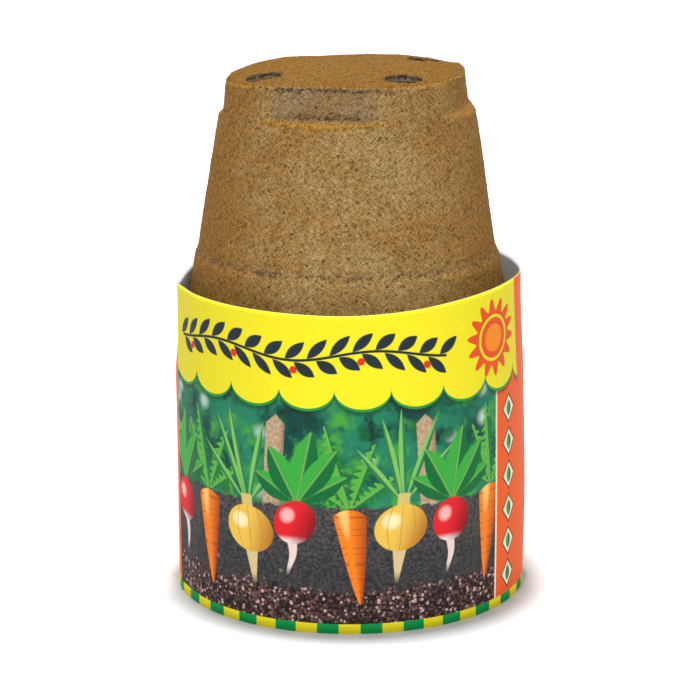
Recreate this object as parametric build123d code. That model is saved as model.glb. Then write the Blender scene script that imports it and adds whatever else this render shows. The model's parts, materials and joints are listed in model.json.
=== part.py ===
"""A shop pack of six round peat pots, nested mouth down, in a printed card sleeve.

Each pot is one thin moulding of peat and wood fibre: a cone that widens to its mouth, a slightly wider
band at the mouth, four shallow panels with a sloping ledge at the foot, and four drain holes in the
base. The pots sit over each other on their sloping walls. A strip of card is wrapped once round them,
and its ends overlap and are glued. The pack stands on the mouth of the lowest pot and on the card's edge.

The frame: millimetres, +Z up, the origin on the floor under the middle of the stack, -Y the front.
"""
import os
from math import cos, degrees, radians, sin, tan

from build123d import *

# One pot, measured with its mouth down at z = 0
MOUTH_RADIUS = 63.5
BASE_RADIUS = 44.5
POT_HEIGHT = 114.0
WALL = 2.2
BASE_THICKNESS = 2.6
BASE_CHAMFER = 1.3
INSIDE_CHAMFER = 1.0
MOUTH_EDGE_RADIUS = 0.7

# The wider band at the mouth
BAND_HEIGHT = 47.4
BAND_STEP = 0.9
BAND_RAMP = 1.6

# The panels round the foot and the ledge under each
PANEL_COUNT = 4
PANEL_TURN = -11.0
PANEL_DEPTH = 1.9
PANEL_CURVE_RADIUS = 75.0
PANEL_HEIGHT = 11.0
PANEL_DRAFT = 0.09
LEDGE_ANGLE = 45.0
LEDGE_CORNER_RADIUS = 1.2

# The drain holes, one between each two panels
HOLE_RADIUS = 6.5
HOLE_TO_EDGE = 3.6

# The stack
POT_COUNT = 6
NEST_CLEARANCE = 0.3

# The card sleeve and its glued overlap
CARD_THICKNESS = 0.45
SLEEVE_ABOVE_MOUTH = 37.9
SLEEVE_RISE = 4.9
SLEEVE_RISE_RADIUS = 400.0
SLEEVE_CLEARANCE = 0.5
SEAM_DIRECTION = 97.0
SEAM_OVERLAP = 16.0
SEAM_RAMP = 9.0
GLUE_THICKNESS = 0.12
GLUE_WIDTH = 10.0
GLUE_END_MARGIN = 6.0

# How far a tool runs past what it cuts
OVERRUN = 2.0

# What follows from the sizes above
WALL_SLOPE = (MOUTH_RADIUS - BAND_STEP - BASE_RADIUS) / POT_HEIGHT
PANEL_DISTANCE = BASE_RADIUS - PANEL_DEPTH
LEDGE_TAN = tan(radians(LEDGE_ANGLE))
LEDGE_DROP = WALL * (1 - sin(radians(LEDGE_ANGLE))) / cos(radians(LEDGE_ANGLE))
LEDGE_HEIGHT = POT_HEIGHT - PANEL_HEIGHT
HOLE_CIRCLE_RADIUS = BASE_RADIUS - HOLE_TO_EDGE - HOLE_RADIUS

# How far one pot stands above the next: its wall, its ledges or its base sets it
WALL_PITCH = (WALL + NEST_CLEARANCE) / WALL_SLOPE
LEDGE_PITCH = PANEL_HEIGHT + LEDGE_DROP + WALL * LEDGE_TAN + NEST_CLEARANCE
NEST_PITCH = max(WALL_PITCH, LEDGE_PITCH, BASE_THICKNESS + NEST_CLEARANCE)

# The sleeve ends above the mouth of the highest pot, and rises from its middle to its right side
SLEEVE_HEIGHT = (POT_COUNT - 1) * NEST_PITCH + SLEEVE_ABOVE_MOUTH

# The radii of the two layers of card
SLEEVE_INNER = MOUTH_RADIUS + SLEEVE_CLEARANCE
SLEEVE_OUTER = SLEEVE_INNER + CARD_THICKNESS
LAP_INNER = SLEEVE_OUTER + GLUE_THICKNESS
LAP_OUTER = LAP_INNER + CARD_THICKNESS


def cone_radius(height):
    """Outer radius of the plain cone at a height above the mouth."""
    return BASE_RADIUS + WALL_SLOPE * (POT_HEIGHT - height)


def panel_radius(height):
    """Radius of a panel's face, about the panel's own far axis, at a height above the mouth."""
    return PANEL_CURVE_RADIUS + PANEL_DRAFT * (POT_HEIGHT - height)


def section_of(outline):
    """The face inside an outline of (radius, height) points, ready to be turned about Z."""
    return Plane.XZ * make_face(Polyline(*outline, close=True))


def base_edge(radius_at, inset, top, chamfer, overrun):
    """The two ends of the slanting base edge, with its upper end run on past the top by overrun."""
    low = radius_at(top - chamfer) - inset
    high = radius_at(top) - inset - chamfer
    run_on = overrun / chamfer
    return [(low, top - chamfer), (high + (high - low) * run_on, top + overrun)]


def round_form(inset, top, bottom, chamfer):
    """The pot's round shape, moved inwards by inset: a cone with the wider band at its mouth."""
    ramp_top = BAND_HEIGHT + BAND_RAMP
    outline = [
        (0, bottom),
        (cone_radius(bottom) + BAND_STEP - inset, bottom),
        (cone_radius(BAND_HEIGHT) + BAND_STEP - inset, BAND_HEIGHT),
        (cone_radius(ramp_top) - inset, ramp_top),
        *base_edge(cone_radius, inset, top, chamfer, 0),
        (0, top),
    ]
    return revolve(section_of(outline), Axis.Z)


def panel_form(inset, top, bottom, ledge_height, chamfer):
    """What one panel leaves: a wide round block whose side is the panel and its sloping ledge."""
    face_foot = panel_radius(ledge_height) - inset
    reach = PANEL_CURVE_RADIUS + MOUTH_RADIUS
    outline = [
        (0, bottom - OVERRUN),
        (reach, bottom - OVERRUN),
        (reach, ledge_height - (reach - face_foot) * LEDGE_TAN),
        (face_foot, ledge_height),
        *base_edge(panel_radius, inset, top, chamfer, OVERRUN),
        (0, top + OVERRUN),
    ]
    section = section_of(outline)
    corner = section.vertices().sort_by_distance((face_foot, 0, ledge_height))[0]
    block = revolve(fillet(corner, LEDGE_CORNER_RADIUS), Axis.Z)
    return Pos(PANEL_DISTANCE - PANEL_CURVE_RADIUS, 0, 0) * block


def panel_direction(index):
    """The way a panel faces, in degrees from +X. The first one faces nearly to the front."""
    return PANEL_TURN - 90 + 360 * index / PANEL_COUNT


def hole_direction(index):
    """The way to the drain hole that is between this panel and the next one."""
    return panel_direction(index) + 180 / PANEL_COUNT


def pot_form(inset, top, bottom, ledge_height, chamfer):
    """The round shape with its panels, moved inwards by inset."""
    form = round_form(inset, top, bottom, chamfer)
    block = panel_form(inset, top, bottom, ledge_height, chamfer)
    for index in range(PANEL_COUNT):
        form &= Rot(Z=panel_direction(index)) * block
    return form


def pot():
    """One pot, mouth down at z = 0."""
    inside_top = POT_HEIGHT - BASE_THICKNESS
    outside = pot_form(0, POT_HEIGHT, 0, LEDGE_HEIGHT, BASE_CHAMFER)
    inside = pot_form(WALL, inside_top, -OVERRUN, LEDGE_HEIGHT - LEDGE_DROP, INSIDE_CHAMFER)
    body = outside - inside
    hole = Cylinder(HOLE_RADIUS, BASE_THICKNESS + 2 * OVERRUN)
    hole_middle = POT_HEIGHT - BASE_THICKNESS / 2
    for index in range(PANEL_COUNT):
        body -= Rot(Z=hole_direction(index)) * Pos(HOLE_CIRCLE_RADIUS, 0, hole_middle) * hole
    mouth_edges = body.edges().filter_by(GeomType.CIRCLE).group_by(Axis.Z)[0]
    return fillet(mouth_edges, MOUTH_EDGE_RADIUS)


def at(radius, angle):
    """A point at a radius and at an angle in degrees."""
    return (radius * cos(radians(angle)), radius * sin(radians(angle)))


def arc(radius, first, last):
    """An arc about the middle, from one angle to another in degrees."""
    return ThreePointArc(at(radius, first), at(radius, (first + last) / 2), at(radius, last))


def climb(low, high, first, last):
    """The stretch where the card climbs from one radius to the other, level with the arcs it joins."""
    return Spline(at(low, first), at(high, last), tangents=[at(1, first + 90), at(1, last + 90)])


def seam_angle(distance):
    """The angle in degrees of a point that is this far along the card from the middle of the seam."""
    return SEAM_DIRECTION + degrees(distance / LAP_INNER)


def under_sleeve_top():
    """All that lies under the sleeve's top edge: level to the middle, then rising to the right."""
    reach = LAP_OUTER + OVERRUN
    outline = [
        (-reach, -OVERRUN),
        (reach, -OVERRUN),
        (reach, SLEEVE_HEIGHT + SLEEVE_RISE * reach / SLEEVE_OUTER),
        (0, SLEEVE_HEIGHT),
        (-reach, SLEEVE_HEIGHT),
    ]
    section = section_of(outline)
    bend = section.vertices().sort_by_distance((0, 0, SLEEVE_HEIGHT))[0]
    return extrude(fillet(bend, SLEEVE_RISE_RADIUS), reach, both=True)


def sleeve():
    """The strip of card: once round, then up over its own first end, cut along its top edge."""
    start = seam_angle(-SEAM_OVERLAP / 2)
    end = seam_angle(SEAM_OVERLAP / 2) + 360
    climb_start = seam_angle(-SEAM_OVERLAP / 2 - SEAM_RAMP) + 360
    climb_end = start + 360
    halfway = (start + climb_start) / 2
    edges = [
        Line(at(SLEEVE_INNER, start), at(SLEEVE_OUTER, start)),
        Line(at(LAP_INNER, end), at(LAP_OUTER, end)),
    ]
    for low, high in ((SLEEVE_INNER, LAP_INNER), (SLEEVE_OUTER, LAP_OUTER)):
        edges.append(arc(low, start, halfway))
        edges.append(arc(low, halfway, climb_start))
        edges.append(climb(low, high, climb_start, climb_end))
        edges.append(arc(high, climb_end, end))
    strip = extrude(make_face(edges), SLEEVE_HEIGHT + 2 * SLEEVE_RISE, dir=(0, 0, 1))
    return strip & under_sleeve_top()


def seam_glue():
    """The film of glue between the two layers of card."""
    first = seam_angle(-GLUE_WIDTH / 2)
    last = seam_angle(GLUE_WIDTH / 2)
    edges = [
        arc(SLEEVE_OUTER, first, last),
        Line(at(SLEEVE_OUTER, last), at(LAP_INNER, last)),
        arc(LAP_INNER, first, last),
        Line(at(LAP_INNER, first), at(SLEEVE_OUTER, first)),
    ]
    section = Pos(0, 0, GLUE_END_MARGIN) * make_face(edges)
    return extrude(section, SLEEVE_HEIGHT - 2 * GLUE_END_MARGIN, dir=(0, 0, 1))


def write(shape, node):
    """Writes one node and prints its size."""
    export_step(shape, f"parts/{node}.step")
    box = shape.bounding_box()
    print(node, "volume", round(shape.volume), "from", box.min, "to", box.max)


os.makedirs("parts", exist_ok=True)
one_pot = pot()
for number in range(POT_COUNT):
    write(Pos(0, 0, number * NEST_PITCH) * one_pot, f"peat_pot_{number + 1}")
write(sleeve(), "card_sleeve")
write(seam_glue(), "seam_glue")
print("nest pitch", round(NEST_PITCH, 2), "height", round(POT_HEIGHT + (POT_COUNT - 1) * NEST_PITCH, 2))
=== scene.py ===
# %% [markdown]
# # A shop pack of peat pots in Blender
# Six pots of moulded peat are nested mouth down and held by a printed card sleeve. The packed CAD model
# gives every real size and place. This script puts finer surfaces over it: felted peat with ragged
# edges, and a sleeve whose print is drawn by the shader. Each step starts with what the thing is on the
# real object, how it could be made, and why it is made in this way.

# %% Load the frame
import json
from math import cos, pi, radians, sin, sqrt

import bpy
import numpy as np
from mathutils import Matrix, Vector

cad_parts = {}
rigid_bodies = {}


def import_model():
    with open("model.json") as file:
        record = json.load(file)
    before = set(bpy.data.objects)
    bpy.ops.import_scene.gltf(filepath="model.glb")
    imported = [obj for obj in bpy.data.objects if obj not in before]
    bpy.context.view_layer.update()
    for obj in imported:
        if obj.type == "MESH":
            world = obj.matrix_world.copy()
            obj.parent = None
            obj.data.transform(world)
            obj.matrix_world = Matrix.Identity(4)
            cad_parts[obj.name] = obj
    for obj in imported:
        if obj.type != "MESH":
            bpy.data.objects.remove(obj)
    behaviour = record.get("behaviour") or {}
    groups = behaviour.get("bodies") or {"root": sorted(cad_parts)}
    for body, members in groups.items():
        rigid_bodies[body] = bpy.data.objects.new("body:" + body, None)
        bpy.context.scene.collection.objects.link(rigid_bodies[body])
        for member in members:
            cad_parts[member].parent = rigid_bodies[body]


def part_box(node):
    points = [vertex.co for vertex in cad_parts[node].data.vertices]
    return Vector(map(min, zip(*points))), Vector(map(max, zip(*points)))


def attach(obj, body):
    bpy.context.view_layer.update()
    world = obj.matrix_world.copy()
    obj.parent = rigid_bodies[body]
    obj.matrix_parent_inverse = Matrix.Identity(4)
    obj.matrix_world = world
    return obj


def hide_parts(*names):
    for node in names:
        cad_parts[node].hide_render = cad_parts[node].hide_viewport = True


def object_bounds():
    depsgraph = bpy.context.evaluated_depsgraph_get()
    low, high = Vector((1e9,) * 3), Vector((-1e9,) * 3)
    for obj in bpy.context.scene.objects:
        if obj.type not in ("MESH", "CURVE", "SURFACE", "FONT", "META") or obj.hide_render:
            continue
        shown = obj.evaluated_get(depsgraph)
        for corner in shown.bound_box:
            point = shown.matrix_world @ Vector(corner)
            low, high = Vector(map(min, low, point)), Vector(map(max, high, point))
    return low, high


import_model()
cad_low, cad_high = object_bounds()
print("CAD box in mm", [round(v * 1000, 1) for v in (*cad_low, *cad_high)])

# %% [markdown]
# ## Sizes
# A pot is known by its mouth and its height, and all else follows from them. Lengths here are in
# millimetres, as a ruler on the bench reads them, and meshes are scaled to metres as they are made. The
# sizes could all be typed in, but then they could part from the solids. So what the CAD boxes tell is read
# from them, and only the rest repeats the named sizes that the solids were made with.

# %% Sizes of the pot and the stack
MM = 0.001
POTS = [f"peat_pot_{number}" for number in range(1, 7)]
SLEEVE = "card_sleeve"
GLUE = "seam_glue"

pot_low, pot_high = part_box(POTS[0])
next_low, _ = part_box(POTS[1])
sleeve_low, sleeve_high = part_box(SLEEVE)

POT_HEIGHT = (pot_high.z - pot_low.z) / MM
NEST_PITCH = (next_low.z - pot_low.z) / MM
STACK_HEIGHT = cad_high.z / MM
SLEEVE_HEIGHT = (sleeve_high.z - sleeve_low.z) / MM
MOUTH_RADIUS = 63.5
BASE_RADIUS = 44.5
WALL = 2.2
BASE_THICKNESS = 2.6
BAND_HEIGHT = 47.4
BAND_STEP = 0.9
BAND_RAMP = 1.6
PANEL_COUNT = 4
PANEL_TURN = -101.0
PANEL_DEPTH = 1.9
PANEL_CURVE_RADIUS = 75.0
PANEL_HEIGHT = 11.0
PANEL_DRAFT = 0.09
HOLE_RADIUS = 6.5
HOLE_TO_EDGE = 3.6

WALL_SLOPE = (MOUTH_RADIUS - BAND_STEP - BASE_RADIUS) / POT_HEIGHT
LEDGE_HEIGHT = POT_HEIGHT - PANEL_HEIGHT
LEDGE_DROP = WALL * (sqrt(2) - 1)
HOLE_CIRCLE_RADIUS = BASE_RADIUS - HOLE_TO_EDGE - HOLE_RADIUS
print("pot", round(POT_HEIGHT, 1), "pitch", round(NEST_PITCH, 2), "stack", round(STACK_HEIGHT, 1))

# %% [markdown]
# ## Helpers for surfaces
# A pot or a sleeve could be modelled by hand, with Spin for the walls and Boolean for the holes. A formula
# is easier to change, and leaves clean quads and no stray faces. So every surface below is a grid of points
# worked out as whole arrays. Patches that meet share the same points along their edges, so they can be
# welded into one closed skin by merging equal points.

# %% Grids and welded meshes
def grid_faces(rows, columns, start=0, flip=False):
    """The quads of a grid of rows by columns points, numbered row after row from start."""
    row = np.arange(rows - 1)[:, None]
    column = np.arange(columns - 1)[None, :]
    corner = (start + row * columns + column).ravel()
    quads = np.stack([corner, corner + 1, corner + columns + 1, corner + columns], axis=1)
    return quads[:, ::-1] if flip else quads


def weld(patches, tolerance=1e-3):
    """Joins patches of (points, quads) into one set of points, where points nearer than tolerance
    count as one: each point is rounded to a lattice of that step, and equal places share a number."""
    points = np.concatenate([patch[0].reshape(-1, 3) for patch in patches])
    starts = np.cumsum([0] + [patch[0].reshape(-1, 3).shape[0] for patch in patches[:-1]])
    quads = np.concatenate([patch[1] + start for patch, start in zip(patches, starts)])
    keys = np.round(points / tolerance).astype(np.int64)
    _, first, number = np.unique(keys, axis=0, return_index=True, return_inverse=True)
    return points[first], number.reshape(-1)[quads]


def mesh_piece(name, points, quads, smooth=True):
    """A mesh object from points in millimetres and quads. Quads with a doubled corner become triangles."""
    mesh = bpy.data.meshes.new(name)
    flat = (quads[:, 0] == quads[:, 1]) | (quads[:, 1] == quads[:, 2])
    flat |= (quads[:, 2] == quads[:, 3]) | (quads[:, 3] == quads[:, 0])
    faces = quads[~flat].tolist()
    for quad in quads[flat].tolist():
        corners = list(dict.fromkeys(quad))
        if len(corners) == 3:
            faces.append(corners)
    mesh.from_pydata((points * MM).tolist(), [], faces)
    mesh.validate()
    mesh.polygons.foreach_set("use_smooth", np.full(len(mesh.polygons), smooth))
    piece = bpy.data.objects.new(name, mesh)
    bpy.context.scene.collection.objects.link(piece)
    return piece


# %% [markdown]
# ## Noise for the pulp
# Moulded peat is never even. A Displace modifier with a noise texture could roughen it, but it moves points
# only along their normals and can't tell an edge from a wall. Here a numpy noise gives each point a vector
# that depends on its place alone, so it can be stronger at the edges, and shared points stay together.

# %% Smooth lattice noise
def lattice_noise(points, step, seed):
    """Noise from -1 to 1: each corner of a cubic lattice of that step has a random value, made by mixing
    the corner's whole-number place, and the eight corners are blended with the weight 3t² - 2t³."""
    place = points / step
    corner = np.floor(place).astype(np.int64)
    t = place - corner
    weight = t * t * (3 - 2 * t)
    total = np.zeros(points.shape[:-1])
    for index in range(8):
        offset = np.array([index & 1, index >> 1 & 1, index >> 2 & 1])
        mixed = (corner + offset) @ np.array([374761393, 668265263, 974634847]) + seed * 144665
        mixed = (mixed ^ (mixed >> 13)) * 1274126177 & 0xffffffff
        value = ((mixed ^ (mixed >> 16)) & 0xffff) / 32767.5 - 1
        share = np.where(offset == 1, weight, 1 - weight).prod(axis=-1)
        total += value * share
    return total


def vector_noise(points, step, seed):
    """Three lattice noises side by side, one for each direction."""
    return np.stack([lattice_noise(points, step, seed * 3 + axis) for axis in range(3)], axis=-1)


tried = np.array([[0, 0, 0], [1, 2, 3], [9.5, 4, 7]])
print("noise at three places", lattice_noise(tried, 2.0, 1).round(2))

# %% [markdown]
# ## One pot
# A real pot is sucked as wet pulp onto a wire mould, so it has one even wall with soft corners. Booleans on
# a cone would leave sharp ones. Here a pot is one closed skin: the outer wall, the rounded mouth, the inner
# wall, and two base faces with four holes between them. The wall's radius comes from the direction and the
# height. The plain cone is cut back by four panels, each a piece of a wide cylinder whose foot slants out
# again as the ledge, and where the two meet a smooth minimum rounds the corner.

# %% The wall's radius
PANEL_BLEND = 0.9
LEDGE_BLEND = 0.8
# For the front, right, back and left panel
LEDGE_SLUMPS = (1.5, 1.0, 1.0, 1.0)
LEDGE_REACHES = (2.5, 1.45, 1.45, 1.45)


def smooth_step(t):
    """0 below 0, 1 above 1, and 3t² - 2t³ between."""
    t = np.clip(t, 0, 1)
    return t * t * (3 - 2 * t)


def smooth_least(a, b, blend):
    """The lesser of a and b, with the corner between them rounded over a width of blend."""
    share = np.clip(0.5 + 0.5 * (b - a) / blend, 0, 1)
    return b + (a - b) * share - blend * share * (1 - share)


def wall_radius(turn, height, inset=0.0):
    """Radius of the wall: the cone with its mouth band, or the panel where that lies further in.
    The panel is seen from the pot's axis: c cos t + root(R² - c² sin² t), with c the offset of the
    panel's own axis and R its radius, which grows with the draft and, under the ledge, with the depth.
    Each ledge has slumped a little, and reaches out so many times the depth below its top."""
    radius = BASE_RADIUS + WALL_SLOPE * (POT_HEIGHT - height) - inset
    radius = radius + BAND_STEP * smooth_step((BAND_HEIGHT + 2 * BAND_RAMP - height) / (3 * BAND_RAMP))
    offset = BASE_RADIUS - PANEL_DEPTH - PANEL_CURVE_RADIUS
    for index in range(PANEL_COUNT):
        ledge = LEDGE_HEIGHT - LEDGE_SLUMPS[index] - (LEDGE_DROP if inset else 0) - height
        below = 0.5 * (ledge + np.sqrt(ledge ** 2 + LEDGE_BLEND ** 2)) * LEDGE_REACHES[index]
        reach = PANEL_CURVE_RADIUS + PANEL_DRAFT * (POT_HEIGHT - height) - inset + below
        t = turn - radians(PANEL_TURN + 360 / PANEL_COUNT * index)
        panel = offset * np.cos(t) + np.sqrt(reach ** 2 - (offset * np.sin(t)) ** 2)
        radius = smooth_least(radius, panel, PANEL_BLEND)
    return radius


directions = np.radians([PANEL_TURN, PANEL_TURN + 45])
print("radius at the base, on a panel and beside it", wall_radius(directions, POT_HEIGHT).round(2))


# %% Rows of points up the wall
BASE_ROUND = 1.6
INSIDE_ROUND = 1.2
ROUND_ROWS = 5


def ring_points(turn, radius, height):
    """Points at a turn, radius and height about the pot's axis."""
    return np.stack(np.broadcast_arrays(radius * np.cos(turn), radius * np.sin(turn), height), axis=-1)


def wall_heights(lowest, highest, detail):
    """Heights of the rows of points, closer together at the band's step and at the ledges."""
    step = [BAND_HEIGHT - BAND_RAMP, BAND_HEIGHT + 2 * BAND_RAMP]
    ledges = [LEDGE_HEIGHT - 8.0, LEDGE_HEIGHT + 2.0]
    stops = [lowest, *step, *ledges, highest]
    steps = [1.25, 0.35, 1.25, 0.45, 1.0]
    parts = [[lowest]]
    for low, high, step in zip(stops[:-1], stops[1:], steps):
        count = max(2, int(round((high - low) / step * detail)))
        parts.append(np.linspace(low, high, count + 1)[1:])
    return np.concatenate(parts)


def wall_patch(turn, inset, lowest, top, rounding, detail):
    """One wall from near the mouth to the flat of the base, ending in a quarter round."""
    shoulder = top - rounding
    heights = wall_heights(lowest, shoulder, detail)[:, None]
    points = ring_points(turn, wall_radius(turn, heights, inset), heights)
    angle = np.linspace(0, pi / 2, ROUND_ROWS + 1)[1:, None]
    edge = wall_radius(turn, shoulder, inset) - rounding * (1 - np.cos(angle))
    rounded = ring_points(turn, edge, shoulder + rounding * np.sin(angle))
    points = np.concatenate([points, rounded])
    return points, grid_faces(len(points), len(turn), flip=inset > 0)


print(len(wall_heights(WALL / 2, POT_HEIGHT - BASE_ROUND, 1.0)), "rows on the outer wall")


# %% Mouth, base and holes
LIP_ROWS = 7
HOLE_ROWS = 4
BASE_ROWS = 14
SIDE_POINTS = 26


def lip_patch(turn):
    """The mouth: half a circle from the outer wall to the inner one, at the wall's thickness."""
    angle = np.linspace(0, pi, LIP_ROWS)[:, None]
    middle = wall_radius(turn, WALL / 2) - WALL / 2
    points = ring_points(turn, middle + WALL / 2 * np.cos(angle), WALL / 2 * (1 - np.sin(angle)))
    return points, grid_faces(LIP_ROWS, len(turn), flip=True)


def base_patch(index, inset, top, rounding, arc_count, detail):
    """A quarter of the base, from its hole out to the edge of the quarter. The edge goes along the wall,
    in to the middle and out again; each of its points is joined to the hole by a straight run."""
    rows = max(5, int(BASE_ROWS * detail))
    side = max(6, int(SIDE_POINTS * detail))
    facing = radians(PANEL_TURN + 45 + 90 * index)
    arc = facing + np.linspace(-pi / 4, pi / 4, arc_count + 1)
    edge = wall_radius(arc, top - rounding, inset) - rounding
    share = np.linspace(0, 1, side + 1)[1:]
    inward = np.stack([arc[-1] + 0 * share, edge[-1] * (1 - share)])
    outward = np.stack([arc[0] + 0 * share, edge[0] * share])
    turn, radius = np.concatenate([np.stack([arc, edge]), inward, outward], axis=1)
    rim = np.stack([radius * np.cos(turn), radius * np.sin(turn)], axis=-1)
    hole = HOLE_CIRCLE_RADIUS * np.array([cos(facing), sin(facing)])
    away = rim - hole
    start = hole + away / np.linalg.norm(away, axis=-1, keepdims=True) * HOLE_RADIUS
    spread = np.linspace(0, 1, rows)[:, None, None] ** 1.4
    flat = start + (rim - start) * spread
    points = np.concatenate([flat, np.full(flat.shape[:-1] + (1,), top)], axis=-1)
    return points, grid_faces(rows, len(turn), flip=inset == 0)


def hole_patch(outer, inner):
    """The cut wall of a drain hole, between the inmost rings of the two base patches."""
    depth = np.linspace(0, 1, HOLE_ROWS)[:, None, None]
    points = outer[0][0] + (inner[0][0] - outer[0][0]) * depth
    return points, grid_faces(HOLE_ROWS, points.shape[1], flip=False)


print("a base patch has", base_patch(0, 0.0, POT_HEIGHT, BASE_ROUND, 10, 1.0)[0].shape[0], "rings")


# %% The whole skin
ARC_POINTS = 88
FULL_DETAIL = 1.0
COARSE_DETAIL = 0.6


def pot_skin(detail):
    """The closed skin of one pot, mouth down at height 0, as points and quads."""
    arc_count = int(ARC_POINTS * detail)
    turn = radians(PANEL_TURN) + np.linspace(0, 2 * pi, 4 * arc_count + 1)
    inside_top = POT_HEIGHT - BASE_THICKNESS
    patches = [
        wall_patch(turn, 0.0, WALL / 2, POT_HEIGHT, BASE_ROUND, detail),
        lip_patch(turn),
        wall_patch(turn, WALL, WALL / 2, inside_top, INSIDE_ROUND, detail * 0.6),
    ]
    for index in range(PANEL_COUNT):
        outer = base_patch(index, 0.0, POT_HEIGHT, BASE_ROUND, arc_count, detail)
        inner = base_patch(index, WALL, inside_top, INSIDE_ROUND, arc_count, detail)
        patches += [outer, inner, hole_patch(outer, inner)]
    return weld(patches)


SKIN_POINTS, SKIN_QUADS = pot_skin(FULL_DETAIL)
COARSE_POINTS, COARSE_QUADS = pot_skin(COARSE_DETAIL)
print("one pot's skin", len(SKIN_POINTS), "points,", len(SKIN_QUADS), "quads")

# %% [markdown]
# ## Giving each pot its own shape
# A pulp pot warps as it dries. Its base crowns and sags, its walls wave, its lip thins out, and its cut
# edges are ragged. It could be sculpted by hand, but then no two walls would nest. Here all of it is a small
# move of each point. The waves depend on the place in the whole stack, so two walls that nest move together
# and don't cut into each other. The highest pot, the one that shows, follows the sag that can be seen: low
# on the left and over the hole at the back left.

# %% How the bases sag
SHOWN = 6
BASE_CROWN = 1.8
HIDDEN_CROWN = 1.3


def near(value, middle, width):
    """A bell curve: 1 at the middle, falling as e to the minus squared distance, counted in widths."""
    return np.exp(-((value - middle) / width) ** 2)


def left_sag(x):
    """How far the highest base sags toward its left edge: 2 ((-x - 20) / 22)^1.5."""
    return 2.0 * np.clip((-x - 20) / 22, 0, 1.15) ** 1.5


def top_relief(x, y):
    """How much the highest pot's base stands above its flat plane. It is the sum of a crown
    1 - (r/44)^3.2, a sag that grows to the left, a fall over the hole at the back left with a swelling
    before it, and small lumps."""
    relief = BASE_CROWN * (1 - np.minimum(np.hypot(x, y) / 44, 1.2) ** 3.2)
    relief = relief - left_sag(x)
    relief = relief + 1.1 * near(x, -22, 14) * near(y, 15, 9)
    relief = relief - 1.5 * np.clip((0.87 * y - 0.5 * x - 24) / 14, 0, 1.3) ** 1.2
    relief = relief + 0.8 * near(x, 41, 5) * near(y, 10, 9)
    relief = relief + 0.3 * near(x, -34, 5) * near(y, 22, 12)
    return relief - 0.25 * smooth_step((x - 24) / 18) * smooth_step((y + 10) / 30)


def plain_relief(x, y, number):
    """The same for a pot that another one covers: a crown, slow noise of its own, and a share of the
    highest pot's sag on the left, 0.6 times less with each pot down."""
    crown = HIDDEN_CROWN * (1 - np.minimum(np.hypot(x, y) / 44, 1.2) ** 3)
    place = np.stack([x, y, 0 * x + 90 * number], axis=-1)
    return crown - 0.6 ** (SHOWN - number) * left_sag(x) + 0.7 * lattice_noise(place, 21.0, number)


left_and_middle = np.array([-40.0, 0.0]), np.array([0.0, 0.0])
print("the highest base at its left and in its middle", top_relief(*left_and_middle).round(2))


# %% Waves, ragged edges and the thin lip
FOOT_SHIFT = 0.4
LEAN = 1.55
LIP_THINNING = 1.3
LIP_HEIGHT = 7.0
# Each noise as its amount, its step and its seed
ROUGHNESS = ((0.11, 2.6, 1), (0.05, 1.3, 2))
FRAYING = ((0.3, 2.1, 3), (0.24, 0.9, 4))
WAVES = np.array([0.45, 0.45, 0.1])
WAVE_STEP = 26.0
BASE_SPREAD = 0.022
RIGHT_HOLE = (19.2, -28.5)
RIGHT_HOLE_SHIFT = 1.5


def drift(height):
    """How far the pack stands to the right at a height: it leans to the left in a slow curve."""
    return FOOT_SHIFT - LEAN * (height / STACK_HEIGHT) ** 2


def hole_distance(x, y):
    """Distance from the middle of the nearest drain hole, seen from above."""
    facing = radians(PANEL_TURN + 45)
    nearest = facing + np.round((np.arctan2(y, x) - facing) / (pi / 2)) * (pi / 2)
    return np.hypot(x - HOLE_CIRCLE_RADIUS * np.cos(nearest), y - HOLE_CIRCLE_RADIUS * np.sin(nearest))


def edge_nearness(points):
    """1 at the rim of a drain hole, on the base's edge and at the mouth, falling to 0 about 2 mm away."""
    x, y, z = points[..., 0], points[..., 1], points[..., 2]
    hole = near(hole_distance(x, y), HOLE_RADIUS, 1.1) * (z > POT_HEIGHT - BASE_THICKNESS - 1)
    wall = wall_radius(np.arctan2(y, x), z)
    edge = near(np.hypot(x, y), wall, 1.3) * near(z, POT_HEIGHT, 1.6)
    return np.maximum.reduce([hole, edge, near(z, 0, 1.3)])


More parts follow.
